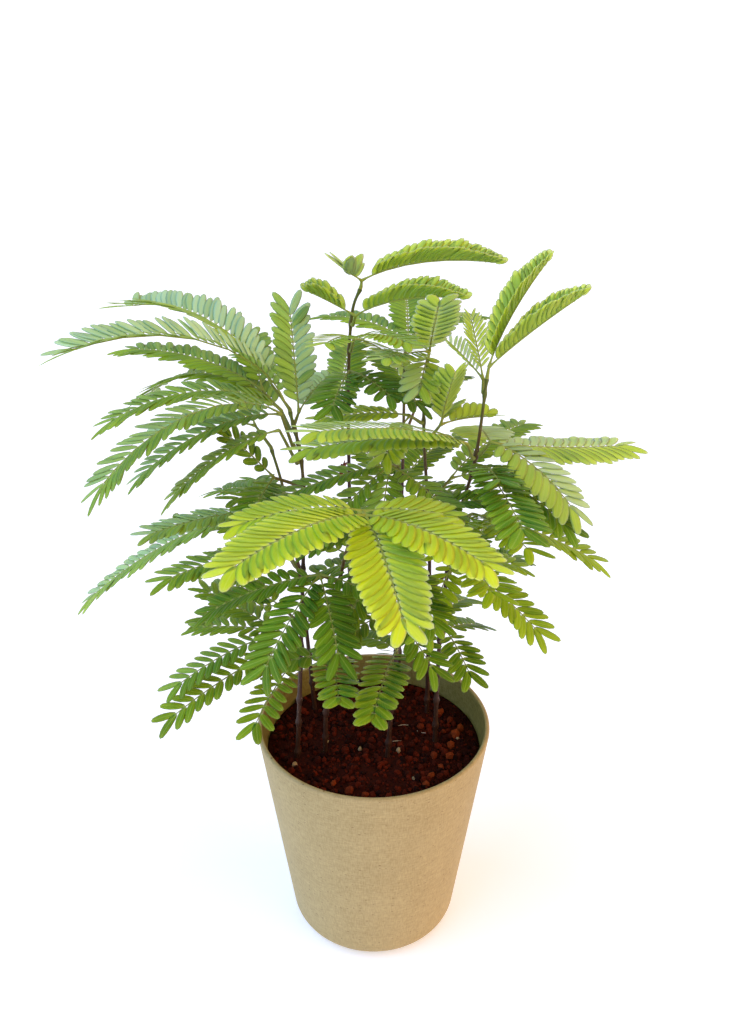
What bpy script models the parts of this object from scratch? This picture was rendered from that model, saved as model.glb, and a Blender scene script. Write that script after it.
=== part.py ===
"""A young everfresh tree in its pot: eight seedlings in one pot of soil.

Metres, +Z up. The origin is the middle of the pot's flat bottom and -Y is the front.
"""
import math
from collections import namedtuple

import bmesh
import bpy
from mathutils import Vector
from mathutils.bvhtree import BVHTree

MM = 0.001
GAP = 0.3 * MM

# Pot: a straight taper with a rounded foot and a thin round lip
POT_HEIGHT = 125 * MM
RIM_RADIUS = 60 * MM
FOOT_RADIUS = 43.3 * MM
FOOT_ROUND = 10 * MM
WALL = 2.6 * MM
FLOOR = 3 * MM
POT_SIDES = 36
POT_CREASE = math.radians(40)
BORE_SIDES = 8
DRAIN_HOLES = 4
DRAIN_RADIUS = 4 * MM
DRAIN_RING = 22 * MM

# Soil: filled to a finger's width below the rim, its top raised in low crumbs
SOIL_TOP = 110 * MM
SOIL_RINGS = 4
CRUMB_HEIGHT = 0.9 * MM
CRUMB_WAVES = (3.1 * MM, 2.7 * MM, 5.3 * MM)
LONG_WAVE_SHARE = 0.6

# Stems: bare and woody, each standing in its own hole
STEM_FOOT_RADIUS = 1.6 * MM
STEM_TIP_RADIUS = 0.9 * MM
STEM_STEP = 32 * MM
STEM_SIDES = 6
STEM_CREASE = math.radians(50)
ROOT_DEPTH = 14 * MM
HOLE_PLAY = 0.6 * MM

# Leaves: a petiole, then pinnae cut to the rib in leaflets
PETIOLE_RADIUS = 0.75 * MM
PETIOLE_TAPER = 0.08
PETIOLE_SIDES = 5
COLLAR = 1.2 * MM
STALK = 6 * MM
FUSED_REACH = 18 * MM
SINK = 0.45 * MM

# Leaflets: how far one is cut off from the next, as a share of the pitch, and how they grow along a pinna.
# Short pinnae have shorter leaflets: a share of the longest, and more for each millimetre of pinna
SLIT = 0.16
RIB_HALF_WIDTH = 0.5 * MM
BLADE = 0.7 * MM
LEAFLET_PITCH = 11.9 * MM
SHORT_PINNA_SHARE = 0.6
PINNA_GROWTH = 0.004
FIRST_LEAFLET = 0.6
FULL_LEAFLET_FROM = 0.3
END_LEAFLET = 1.2
NEAR_CORNER = 0.86
END_SWEEP = 56
DROOP_EASE = 0.6
RIB_SAMPLES = 16
CLEAR = 0.9 * MM

Habit = namedtuple("Habit", "young longest fold first_sweep last_sweep")
Pinna = namedtuple("Pinna", "heading rise length droop")
Solid = namedtuple("Solid", "verts faces")

# How a leaf holds its leaflets: the longest in mm, how far the two rows fold up towards each other and how
# far the leaflets sweep forward, both in degrees. Opening leaves are still folded and new ones lie flattest.
HABITS = {
    "opening": Habit(True, 17, 52, 36, 48),
    "new": Habit(True, 19, 12, 24, 40),
    "fresh": Habit(True, 17, 18, 26, 44),
    "bluish": Habit(False, 14, 22, 26, 44),
    "grown": Habit(False, 13.5, 22, 26, 42),
    "broad": Habit(False, 14, 18, 22, 40),
}

# How far a pinna droops from its base to its tip, in degrees
LIFTED = -15
STIFF = 12
EASY = 30
ARCHED = 45
DROOPING = 60
WEEPING = 88
CURLED = 105

# Each seedling: its stem's route from the soil up (x, y, z in mm), then its leaves from the top down.
# A leaf is the height where it leaves the stem, then one or two steps. A step is the petiole's or
# rachis's (heading, rise, length) and the pinnae at its end as (heading, rise, length, droop).
# Angles are degrees and a heading of 0 is +X, -90 the front. They are set by hand, with the photograph
# measured as a guide, and the leaves out of its sight only fill the plant's back and middle.
# The seedlings that show most come first, because a later pinna bends clear of the earlier ones.
SEEDLINGS = {
    "1": (
        [(-25, -7, 110), (-22, -14, 170), (-14, -28, 232), (-6, -43, 268)],
        [
            (268, [((-70, 35, 5), [(-160, 0, 66, ARCHED), (-10, -1, 48, EASY)]),
                   ((-80, 15, 8), [(-133, 1, 88, ARCHED), (-38, -6, 74, ARCHED),
                                  (-75, -20, 74, ARCHED)])]),
            (225, [((-150, 30, 12), [(-175, -20, 60, EASY), (-120, -30, 60, EASY), (-75, -32, 50, EASY),
                                    (-15, -12, 46, EASY)])]),
            (172, [((-80, 45, 18), [(-85, 15, 70, EASY), (-165, -10, 42, EASY)])]),
        ],
    ),
    "2": (
        [(32, 1, 110), (33, 0, 180), (38, 0, 235), (46, 0, 272), (50, 4, 310)],
        [
            (310, [((-60, 80, 6), [(12, 60, 66, EASY), (-15, 42, 66, STIFF)])]),
            (303, [((100, 60, 7), [(100, 38, 44, STIFF), (120, 32, 40, STIFF)])]),
            (276, [((-35, 45, 10), [(-41, -27, 62, DROOPING), (17, -8, 80, LIFTED),
                                   (92, -15, 55, STIFF)])]),
            (274, [((-125, 50, 12), [(-145, 16, 100, EASY), (-160, 5, 90, EASY)])]),
            (268, [((-75, 30, 12), [(-85, 15, 50, EASY), (-80, -5, 75, EASY), (-35, -18, 56, EASY)])]),
            (242, [((-35, 35, 9), [(-5, -22, 70, EASY), (-65, 5, 58, EASY), (-100, 10, 70, EASY),
                                  (-140, -12, 56, EASY)])]),
            (214, [((-75, 50, 16), [(-40, -25, 60, EASY), (-80, 15, 75, ARCHED), (10, -15, 38, EASY),
                                   (-115, -28, 48, EASY)])]),
            (175, [((-80, 50, 16), [(-70, -15, 38, EASY), (60, -25, 40, EASY)])]),
        ],
    ),
    "3": (
        [(-39, -11, 110), (-35, -9, 182), (-32, -3, 262), (-37, 0, 296)],
        [
            (296, [((-130, 60, 8), [(-166, 15, 113, CURLED)]),
                   ((170, 55, 9), [(144, 9, 106, WEEPING)])]),
            (290, [((70, 25, 8), [(65, 5, 45, EASY), (100, 58, 56, STIFF)])]),
            (287, [((130, 40, 11), [(-170, -3, 90, WEEPING), (148, -11, 106, WEEPING)]),
                   ((140, 30, 14), [(152, 4, 84, ARCHED), (105, 25, 42, EASY)])]),
            (281, [((-125, 62, 20), [(-149, -14, 104, CURLED), (-170, -24, 78, DROOPING)])]),
            (273, [((-110, 50, 30), [(-176, -34, 64, ARCHED)])]),
            (262, [((-150, 25, 16), [(-175, 38, 36, STIFF), (-105, -12, 40, EASY)])]),
            (251, [((115, -5, 16), [(-140, 12, 40, EASY), (145, -15, 58, EASY)])]),
            (219, [((-135, 58, 19), [(-152, -3, 66, EASY), (140, -24, 60, STIFF)])]),
            (177, [((-125, 48, 20), [(150, 12, 54, STIFF), (-152, -15, 64, ARCHED), (178, 0, 50, EASY)])]),
            (166, [((-105, 45, 12), [(-108, 0, 58, EASY)]),
                   ((-125, 50, 16), [(-138, -3, 68, EASY)])]),
        ],
    ),
    "4": (
        [(-12, 45, 110), (-12, 40, 222), (-12, 34, 290), (-10, 30, 330), (-6, 30, 343)],
        [
            (343, [((0, 80, 4), [(-5, 7, 76, ARCHED), (-115, 25, 25, STIFF)])]),
            (327, [((-70, 42, 8), [(-18, 12, 66, ARCHED), (-178, 27, 36, STIFF)])]),
            (314, [((-80, 40, 14), [(-50, 8, 48, ARCHED), (-108, 12, 48, EASY), (60, -25, 62, EASY)])]),
            (297, [((-85, 50, 11), [(-58, -3, 44, EASY), (-100, -5, 48, EASY), (-15, -15, 46, EASY)])]),
            (262, [((110, 40, 18), [(85, 15, 70, ARCHED), (135, 10, 80, ARCHED)])]),
            (185, [((100, 35, 14), [(80, -5, 74, ARCHED), (150, -10, 64, ARCHED)])]),
        ],
    ),
    "5": (
        [(7, -11, 110), (12, -10, 190), (13, -6, 245), (11, -3, 270)],
        [
            (270, [((-120, 30, 8), [(-100, -35, 32, EASY), (-45, -28, 45, EASY), (-178, -14, 58, EASY),
                                   (-150, -38, 52, EASY)])]),
            (245, [((-90, 40, 12), [(-172, -5, 60, EASY), (0, -12, 50, EASY)])]),
            (225, [((-110, 35, 14), [(-70, -20, 56, EASY), (-135, -18, 58, EASY), (180, -15, 54, EASY)])]),
            (198, [((-110, 30, 14), [(-142, -16, 48, EASY), (-55, -25, 44, EASY), (170, -12, 44, EASY)])]),
            (175, [((-90, 40, 10), [(-95, 8, 78, EASY), (125, -25, 50, EASY)])]),
        ],
    ),
    "6": (
        [(29, 26, 110), (28, 24, 210), (24, 21, 270), (23, 20, 298)],
        [
            (298, [((-70, 75, 22), [(-80, 38, 50, STIFF), (-125, 10, 46, STIFF), (88, -8, 38, STIFF),
                                   (-112, -48, 36, EASY)])]),
            (283, [((-125, 30, 14), [(-160, 22, 50, EASY), (-90, -15, 36, EASY)])]),
            (273, [((-70, 40, 24), [(-75, 60, 44, STIFF), (75, -5, 36, EASY), (15, -22, 38, EASY)])]),
            (240, [((30, 35, 16), [(5, -8, 66, ARCHED), (50, 5, 74, ARCHED)])]),
            (190, [((20, 35, 16), [(30, -12, 50, ARCHED), (65, -5, 66, ARCHED)])]),
            (158, [((60, 35, 12), [(60, -15, 46, ARCHED), (100, -15, 56, ARCHED)])]),
        ],
    ),
    "7": (
        [(14, 45, 110), (14, 48, 185), (15, 53, 262), (15, 58, 300)],
        [
            (300, [((70, 45, 9), [(45, 0, 60, ARCHED), (90, 8, 62, ARCHED), (140, 0, 65, ARCHED)])]),
            (262, [((60, 40, 18), [(60, -5, 62, ARCHED), (110, 5, 72, ARCHED)])]),
            (215, [((95, 35, 20), [(60, 0, 80, ARCHED), (120, 0, 82, ARCHED), (-25, 2, 50, EASY)])]),
            (172, [((75, 35, 18), [(70, -5, 66, ARCHED), (125, -8, 68, ARCHED)])]),
        ],
    ),
    "8": (
        [(-32, 29, 110), (-37, 27, 190), (-43, 26, 240), (-49, 30, 264)],
        [
            (264, [((150, 50, 14), [(110, 0, 76, ARCHED), (165, -15, 68, ARCHED)])]),
            (228, [((-135, 35, 17), [(-178, -29, 113, ARCHED), (-150, 2, 68, EASY)])]),
            (200, [((135, 35, 18), [(105, 0, 78, ARCHED), (160, -5, 74, ARCHED)])]),
            (165, [((165, 35, 16), [(140, -10, 60, ARCHED), (-170, -8, 50, ARCHED)])]),
        ],
    ),
}

# The habit of each seedling's leaves, from the top down
GROWN_AS = {
    "1": "new grown broad",
    "2": "opening opening fresh new broad grown grown grown",
    "3": "bluish bluish grown bluish grown grown grown grown grown broad",
    "4": "opening opening fresh grown grown grown",
    "5": "grown grown grown grown broad",
    "6": "fresh fresh opening grown grown grown",
    "7": "grown grown grown grown",
    "8": "bluish grown grown grown",
}

# How far a pinna may swing and lift, in degrees, to pass clear of the others, the least move first,
# and how much shorter it may grow where no such move clears it
SWINGS = sorted(
    ((swing, lift) for swing in range(-30, 31, 5) for lift in range(-25, 26, 5)),
    key=lambda move: (abs(move[0]) + abs(move[1]), move),
)
SHORTER = (1, 0.85, 0.7, 0.55)


def clear_scene():
    for obj in list(bpy.data.objects):
        bpy.data.objects.remove(obj, do_unlink=True)


def material(name, colour, roughness):
    mat = bpy.data.materials.new(name)
    mat.use_nodes = True
    shader = mat.node_tree.nodes["Principled BSDF"]
    shader.inputs["Base Color"].default_value = (*colour, 1)
    shader.inputs["Roughness"].default_value = roughness
    shader.inputs["Metallic"].default_value = 0
    return mat


def add_object(name, mesh, mat):
    obj = bpy.data.objects.new(name, mesh)
    mesh.materials.append(mat)
    bpy.context.scene.collection.objects.link(obj)
    return obj


def add_solid(name, solid, mat):
    bm = bmesh.new()
    verts = [bm.verts.new(vert) for vert in solid.verts]
    for face in solid.faces:
        bm.faces.new([verts[i] for i in face])
    bmesh.ops.recalc_face_normals(bm, faces=bm.faces)
    mesh = bpy.data.meshes.new(name)
    bm.to_mesh(mesh)
    bm.free()
    return add_object(name, mesh, mat)


def direction(heading, rise):
    heading, rise = math.radians(heading), math.radians(rise)
    flat = math.cos(rise)
    return Vector((flat * math.cos(heading), flat * math.sin(heading), math.sin(rise)))


def arc(centre, radius, start, end, steps):
    """Points on an arc in the (radius, height) plane; the angles are in degrees from +radius."""
    angles = [math.radians(start + (end - start) * i / steps) for i in range(steps + 1)]
    return [(centre[0] + radius * math.cos(a), centre[1] + radius * math.sin(a)) for a in angles]


def turned(name, profile, sides, mat):
    """Turn a profile that starts and ends on the Z axis into one closed body."""
    bm = bmesh.new()
    verts = [bm.verts.new((radius, 0, height)) for radius, height in profile]
    edges = [bm.edges.new(pair) for pair in zip(verts, verts[1:])]
    bmesh.ops.spin(bm, geom=verts + edges, cent=(0, 0, 0), axis=(0, 0, 1),
                   angle=math.tau, steps=sides, use_merge=True)
    bmesh.ops.remove_doubles(bm, verts=bm.verts, dist=0.01 * MM)
    bmesh.ops.recalc_face_normals(bm, faces=bm.faces)
    mesh = bpy.data.meshes.new(name)
    bm.to_mesh(mesh)
    bm.free()
    return add_object(name, mesh, mat)


def wall_radius(height, inset):
    """Radius of the pot's tapered wall at a height, less an inset."""
    return FOOT_RADIUS + (RIM_RADIUS - FOOT_RADIUS) * height / POT_HEIGHT - inset


def foot_corner(inset, floor, round_radius, steps):
    """The rounded corner between a floor and the tapered wall, from the floor outwards."""
    taper = math.degrees(math.atan2(RIM_RADIUS - FOOT_RADIUS, POT_HEIGHT))
    reach = round_radius / math.tan(math.radians(90 + taper) / 2)
    centre = (wall_radius(floor, inset) - reach, floor + round_radius)
    return arc(centre, round_radius, -90, -taper, steps)


def make_pot(mat):
    lip = WALL / 2
    lip_centre = (wall_radius(POT_HEIGHT - lip, lip), POT_HEIGHT - lip)
    profile = [(0, 0)]
    profile += foot_corner(0, 0, FOOT_ROUND, 4)
    profile += arc(lip_centre, lip, 0, 180, 4)
    profile += reversed(foot_corner(WALL, FLOOR, FOOT_ROUND - WALL, 3))
    profile.append((0, FLOOR))
    pot = turned("pot", profile, POT_SIDES, mat)
    for hole in range(DRAIN_HOLES):
        angle = math.tau * (hole + 0.5) / DRAIN_HOLES
        spot = (DRAIN_RING * math.cos(angle), DRAIN_RING * math.sin(angle), FLOOR / 2)
        cut(pot, bore(spot, DRAIN_RADIUS, 3 * FLOOR))
    finish_round(pot, POT_CREASE)
    return pot


def bore(spot, radius, depth):
    """A cutter for a plain round hole."""
    bm = bmesh.new()
    bmesh.ops.create_cone(bm, cap_ends=True, segments=BORE_SIDES, radius1=radius, radius2=radius,
                          depth=depth)
    bmesh.ops.translate(bm, verts=bm.verts, vec=spot)
    mesh = bpy.data.meshes.new("bore")
    bm.to_mesh(mesh)
    bm.free()
    cutter = bpy.data.objects.new("bore", mesh)
    bpy.context.scene.collection.objects.link(cutter)
    cutter.hide_render = True
    cutter.display_type = "WIRE"
    return cutter


def cut(obj, cutter):
    modifier = obj.modifiers.new("cut", "BOOLEAN")
    modifier.operation = "DIFFERENCE"
    modifier.solver = "EXACT"
    modifier.object = cutter
    apply_modifiers(obj)
    bpy.data.objects.remove(cutter, do_unlink=True)


def apply_modifiers(obj):
    evaluated = obj.evaluated_get(bpy.context.evaluated_depsgraph_get())
    mesh = bpy.data.meshes.new_from_object(evaluated)
    obj.modifiers.clear()
    obj.data = mesh


def finish_round(obj, crease):
    obj.data.shade_smooth()
    obj.data.set_sharp_from_angle(angle=crease)


def crumbs(x, y):
    """Height of the soil's crumbs above its level, from a few crossing waves."""
    across, deep, slant = CRUMB_WAVES
    waves = math.sin(x / across) * math.sin(y / deep)
    return CRUMB_HEIGHT * (waves + LONG_WAVE_SHARE * math.sin((x + y) / slant))


def make_soil(mat):
    inset = WALL + GAP
    underside = FLOOR + GAP
    edge = wall_radius(SOIL_TOP, inset)
    profile = [(0, underside)]
    profile += foot_corner(inset, underside, FOOT_ROUND - WALL, 3)
    profile += [(edge * (SOIL_RINGS - ring) / SOIL_RINGS, SOIL_TOP) for ring in range(SOIL_RINGS)]
    profile.append((0, SOIL_TOP))
    soil = turned("soil", profile, POT_SIDES, mat)
    for vert in soil.data.vertices:
        if vert.co.z > SOIL_TOP - GAP and vert.co.xy.length < edge - GAP:
            vert.co.z += crumbs(vert.co.x, vert.co.y)
    return soil


def smooth_route(points, step):
    """Points about a step apart on a smooth curve through the route's own points."""
    ends = [points[0]] + points + [points[-1]]
    route = []
    for before, start, end, after in zip(ends, ends[1:], ends[2:], ends[3:]):
        count = max(1, round((end - start).length / step))
        for i in range(count):
            t = i / count
            route.append(0.5 * (
                2 * start
                + (end - before) * t
                + (2 * before - 5 * start + 4 * end - after) * t ** 2
                + (3 * start - 3 * end + after - before) * t ** 3))
    route.append(points[-1])
    return route


def tube(points, radii, sides):
    """A closed tube along points, its rings carried along without a twist."""
    verts = []
    faces = []
    across = None
    for i, point in enumerate(points):
        along = (points[min(i + 1, len(points) - 1)] - points[max(i - 1, 0)]).normalized()
        if across is None:
            across = along.orthogonal()
        across = (across - along * across.dot(along)).normalized()
        other = along.cross(across)
        for k in range(sides):
            angle = math.tau * k / sides
            verts.append(point + radii[i] * (math.cos(angle) * across + math.sin(angle) * other))
    for ring in range(len(points) - 1):
        for k in range(sides):
            a, b = ring * sides + k, ring * sides + (k + 1) % sides
            faces.append((a, b, b + sides, a + sides))
    faces.append(tuple(reversed(range(sides))))
    faces.append(tuple(range(len(verts) - sides, len(verts))))
    return Solid(verts, faces)


def stem_route(route):
    """The stem's smooth line, going straight down into the soil at its foot."""
    points = [Vector(point) * MM for point in route]
    root = points[0] - Vector((0, 0, ROOT_DEPTH))
    return [root] + smooth_route(points, STEM_STEP)


def stem_radius(height, top):
    share = max(0, (height - SOIL_TOP) / (top - SOIL_TOP))
    return STEM_FOOT_RADIUS + (STEM_TIP_RADIUS - STEM_FOOT_RADIUS) * share


def stem_tube(line, margin):
    radii = [stem_radius(point.z, line[-1].z) + margin for point in line]
    return tube(line, radii, STEM_SIDES)


def point_on(line, height):
    for low, high in zip(line, line[1:]):
        if low.z <= height <= high.z:
            return low.lerp(high, (height - low.z) / (high.z - low.z))
    return line[-1].copy()


def petiole_points(line, height, steps):
    """The petiole's and rachis's points: a short collar off the stem, then each step's end."""
    height *= MM
    on_stem = point_on(line, height)
    forks = []
    point = on_stem
    for (heading, rise, length), _ in steps:
        point = point + direction(heading, rise) * length * MM
        forks.append(point)
    if height >= line[-1].z - STEM_TIP_RADIUS:
        along = (line[-1] - line[-2]).normalized()
        start = line[-1] + along * GAP
        return [start, start + along * COLLAR] + forks
    outward = direction(steps[0][0][0], 0)
    start = on_stem + outward * (stem_radius(height, line[-1].z) + GAP)
    return [start, start + outward * COLLAR] + forks


def rib_direction(pinna, share):
    """The rib's direction; its slope falls by the droop from base to tip and its mean is the rise."""
    slope = pinna.rise + pinna.droop * (1 / (1 + DROOP_EASE) - share ** DROOP_EASE)
    return direction(pinna.heading, slope)


def rib_point(fork, pinna, reach):
    """A point on the pinna's rib, found by adding up short steps of the reach."""
    step = reach / RIB_SAMPLES
    point = fork.copy()
    for i in range(RIB_SAMPLES):
        point += rib_direction(pinna, (i + 0.5) * step / pinna.length) * step * MM
    return point


def leaflet_length(pinna, habit):
    return habit.longest * MM * min(1, SHORT_PINNA_SHARE + PINNA_GROWTH * pinna.length)


def blade(fork, pinna, habit, root, begin, margin=0):
    """One pinna: a thin arched blade, folded along its rib and cut to the rib in leaflets.

    Its stalk runs from root to begin. With a margin it is the room that the pinna takes up.
    """
    longest = leaflet_length(pinna, habit)
    fold = math.radians(habit.fold)
    rib_end = pinna.length * MM - longest
    pairs = max(2, round((rib_end - begin) / LEAFLET_PITCH))
    thick = BLADE + 2 * margin
    half = RIB_HALF_WIDTH + margin
    drop = (thick + half * math.sin(fold)) / math.cos(fold)
    side = direction(pinna.heading + 90, 0)
    verts = []
    faces = []
    reaches = [root] + [begin + (rib_end - begin) * i / pairs for i in range(pairs + 1)]
    for reach in reaches:
        along = rib_direction(pinna, reach / MM / pinna.length)
        normal = along.cross(side)
        point = rib_point(fork, pinna, reach / MM) + normal * margin
        if reach == 0:
            point -= along * SINK
        verts += [point + side * half, point - side * half, point - normal * drop]
    faces += [(0, 1, 2), (0, 3, 4, 1), (0, 2, 5, 3), (1, 4, 5, 2)]
    for i in range(1, pairs + 1):
        left, right, keel = 3 * i, 3 * i + 1, 3 * i + 2
        faces.append((left, left + 3, right + 3, right))
        share = (i - 1) / (pairs - 1)
        along = (verts[keel + 3] - verts[keel]).normalized()
        normal = along.cross(side)
        last = i == pairs
        sweep = END_SWEEP if last else habit.first_sweep + (habit.last_sweep - habit.first_sweep) * share
        sweep = math.radians(sweep)
        full = min(1, share / FULL_LEAFLET_FROM)
        length = longest * (END_LEAFLET if last else FIRST_LEAFLET + (1 - FIRST_LEAFLET) * full) + margin
        for sign, edge in ((1, left), (-1, right)):
            out = side * sign * math.cos(fold) + normal * math.sin(fold)
            aim = out * math.cos(sweep) + along * math.sin(sweep)
            below = (along.cross(aim) * -sign).normalized() * thick
            near = verts[edge].lerp(verts[edge + 3], SLIT) + aim * length * NEAR_CORNER
            far = verts[edge].lerp(verts[edge + 3], 1 - SLIT / 2) + aim * length
            a = len(verts)
            verts += [near, far, near + below, far + below]
            wing = [(edge, a, a + 1), (edge, a + 1, edge + 3),
                    (keel, a + 3, a + 2), (keel, keel + 3, a + 3),
                    (edge, a + 2, a), (edge, keel, a + 2),
                    (edge + 3, a + 1, a + 3), (edge + 3, a + 3, keel + 3),
                    (a, a + 2, a + 3), (a, a + 3, a + 1)]
            faces += wing if sign == -1 else [face[::-1] for face in wing]
    left = 3 * (pairs + 1)
    faces.append((left, left + 2, left + 1))
    return Solid(verts, faces)


def tree_of(solid):
    return BVHTree.FromPolygons(solid.verts, solid.faces)


def room_of(fork, pinna, habit, root, begin):
    return tree_of(blade(fork, pinna, habit, root, begin, CLEAR))


def bent_clear(fork, pinna, habit, taken, siblings):
    """The pinna, moved or shortened as little as lets it pass clear of what is already placed.

    Pinnae of one leaf may meet near the fork that they share, where they are fused.
    """
    for share in SHORTER:
        for swing, lift in SWINGS:
            moved = Pinna(pinna.heading + swing, pinna.rise + lift, pinna.length * share, pinna.droop)
            outer = room_of(fork, moved, habit, FUSED_REACH - COLLAR, FUSED_REACH)
            if any(outer.overlap(other) for other in siblings):
                continue
            room = room_of(fork, moved, habit, 0, STALK)
            if not any(room.overlap(other) for other in taken):
                return moved, room, outer
    raise ValueError("no clear place for %s" % (pinna,))


def pot_room():
    """The pot and its soil as the leaves must keep off them."""
    points = [Vector((0, 0, 0)), Vector((0, 0, SOIL_TOP)), Vector((0, 0, POT_HEIGHT + CLEAR))]
    radii = [FOOT_RADIUS + CLEAR, wall_radius(SOIL_TOP, 0) + CLEAR, RIM_RADIUS + CLEAR]
    return tree_of(tube(points, radii, POT_SIDES))


def make_leaf(name, petiole, blades, mat):
    """Fuse a leaf's pinnae to its petiole and rachis in one body."""
    radii = [PETIOLE_RADIUS * (1 - PETIOLE_TAPER * i) for i in range(len(petiole))]
    end = petiole[-1] + (petiole[-1] - petiole[-2]).normalized() * SINK
    leaf = add_solid(name, tube(petiole[:-1] + [end], radii, PETIOLE_SIDES), mat)
    group = bpy.data.collections.new(name + "_pinnae")
    for solid in blades:
        part = add_solid("pinna", solid, mat)
        bpy.context.scene.collection.objects.unlink(part)
        group.objects.link(part)
    modifier = leaf.modifiers.new("union", "BOOLEAN")
    modifier.operation = "UNION"
    modifier.solver = "MANIFOLD"
    modifier.operand_type = "COLLECTION"
    modifier.collection = group
    apply_modifiers(leaf)
    for part in list(group.objects):
        bpy.data.objects.remove(part, do_unlink=True)
    bpy.data.collections.remove(group)
    return leaf


def main():
    clear_scene()
    pot_mat = material("bamboo_fibre_beige", (0.66, 0.58, 0.45), 0.75)
    soil_mat = material("damp_bark_soil", (0.05, 0.02, 0.012), 0.95)
    stem_mat = material("young_bark", (0.07, 0.035, 0.02), 0.7)
    leaf_mat = material("leaf_green", (0.09, 0.2, 0.03), 0.45)
    young_mat = material("leaf_yellow_green", (0.33, 0.5, 0.03), 0.4)
    make_pot(pot_mat)
    soil = make_soil(soil_mat)

    lines = {name: stem_route(route) for name, (route, _) in SEEDLINGS.items()}
    taken = {"pot": [pot_room()], "stems": [tree_of(stem_tube(line, CLEAR)) for line in lines.values()]}
    for name, line in lines.items():
        stem = add_solid("stem_" + name, stem_tube(line, 0), stem_mat)
        finish_round(stem, STEM_CREASE)
        foot = line[0] + Vector((0, 0, ROOT_DEPTH - GAP))
        cut(soil, bore(foot, STEM_FOOT_RADIUS + HOLE_PLAY, 2 * ROOT_DEPTH))

    leaves = []
    for name, (_, rows) in SEEDLINGS.items():
        for place, (height, steps) in enumerate(rows, 1):
            petiole = petiole_points(lines[name], height, steps)
            node = "leaf_%s_%d" % (name, place)
            radii = [PETIOLE_RADIUS + CLEAR] * len(petiole)
            taken[node] = [tree_of(tube(petiole, radii, PETIOLE_SIDES))]
            habit = HABITS[GROWN_AS[name].split()[place - 1]]
            leaves.append((node, habit, steps, petiole))
    for node, habit, steps, petiole in leaves:
        others = [room for owner, rooms in taken.items() if owner != node for room in rooms]
        blades = []
        siblings = []
        for fork, (_, rows) in zip(petiole[2:], steps):
            for row in rows:
                pinna, room, outer = bent_clear(fork, Pinna(*row), habit, others, siblings)
                blades.append(blade(fork, pinna, habit, 0, STALK))
                taken[node].append(room)
                siblings.append(outer)
        make_leaf(node, petiole, blades, young_mat if habit.young else leaf_mat)


main()
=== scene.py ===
# %% [markdown]
# # A young everfresh tree in its pot
#
# The real object is eight seedlings of a small tropical tree, grown together in one beige pot. Its leaves
# are divided twice: a stalk carries a few feathers, called pinnae, and each pinna carries two rows of
# leaflets. The CAD model already says where every stem and pinna goes. This script keeps those places and
# gives each piece the shape and finish that the real one has.

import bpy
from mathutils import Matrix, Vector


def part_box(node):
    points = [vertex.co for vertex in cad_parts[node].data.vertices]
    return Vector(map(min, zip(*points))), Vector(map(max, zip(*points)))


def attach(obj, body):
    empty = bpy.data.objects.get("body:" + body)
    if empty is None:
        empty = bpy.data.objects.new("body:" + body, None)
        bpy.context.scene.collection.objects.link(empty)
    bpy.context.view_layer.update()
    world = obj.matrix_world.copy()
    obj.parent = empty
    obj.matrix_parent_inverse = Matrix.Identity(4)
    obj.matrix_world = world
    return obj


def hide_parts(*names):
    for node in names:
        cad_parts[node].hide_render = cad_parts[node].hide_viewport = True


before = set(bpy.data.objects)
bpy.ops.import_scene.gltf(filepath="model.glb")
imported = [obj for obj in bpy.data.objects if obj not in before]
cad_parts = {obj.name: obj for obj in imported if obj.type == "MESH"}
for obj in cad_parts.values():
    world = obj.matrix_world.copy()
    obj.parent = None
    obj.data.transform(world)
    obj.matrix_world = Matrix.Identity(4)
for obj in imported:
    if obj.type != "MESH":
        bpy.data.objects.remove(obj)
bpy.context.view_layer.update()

# %% [markdown]
# Everything below is in metres, and millimetres are written as a number times MM. The random draws all
# come from one seeded source, so that the tree is the same each time it is grown.

# %% Imports and units
import math
import random
from collections import namedtuple

import bmesh
import bpy
from mathutils import Euler, Matrix, Vector, noise
from mathutils.kdtree import KDTree

MM = 0.001
chance = random.Random(11)
print("one unit is a metre, and MM is", MM)

# %% [markdown]
# A shader works in linear light, but a colour is easiest to judge as the sRGB hex value that a paint chart
# gives, so one function turns the one into the other. Node trees are built from the same few moves again and
# again, so one more function adds a node with its settings, inputs and ramp colours. An input takes a value,
# a socket, or a node, which then gives its first output.

# %% Colours and nodes
def linear(hex_colour):
    """An sRGB hex colour as the linear colour that a shader takes."""
    channels = [int(hex_colour[i:i + 2], 16) / 255 for i in (1, 3, 5)]
    return [c / 12.92 if c <= 0.04045 else ((c + 0.055) / 1.055) ** 2.4 for c in channels] + [1]


def feed(mat, node, name, value):
    """Set a node's input to a value, or link it to a socket or to a node's first output."""
    if isinstance(value, bpy.types.Node):
        value = next(output for output in value.outputs if output.enabled)
    if isinstance(value, bpy.types.NodeSocket):
        mat.node_tree.links.new(value, node.inputs[name])
    else:
        node.inputs[name].default_value = value


def add(mat, kind, settings={}, inputs={}, stops=()):
    """Add a shader node of a kind, with its settings, its inputs and its ramp's colours."""
    node = mat.node_tree.nodes.new("ShaderNode" + kind)
    for name, value in settings.items():
        setattr(node, name, value)
    for name, value in inputs.items():
        feed(mat, node, name, value)
    for i, (place, colour) in enumerate(stops):
        stop = node.color_ramp.elements[i] if i < 2 else node.color_ramp.elements.new(place)
        stop.position = place
        stop.color = linear(colour)
    return node


def finish(name, colour, roughness, ior):
    """A new material and its Principled shader, with the values that are the same all over."""
    mat = bpy.data.materials.new(name)
    mat.use_nodes = True
    shader = mat.node_tree.nodes["Principled BSDF"]
    feed(mat, shader, "Base Color", linear(colour))
    feed(mat, shader, "Roughness", roughness)
    feed(mat, shader, "IOR", ior)
    return mat, shader


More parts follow.
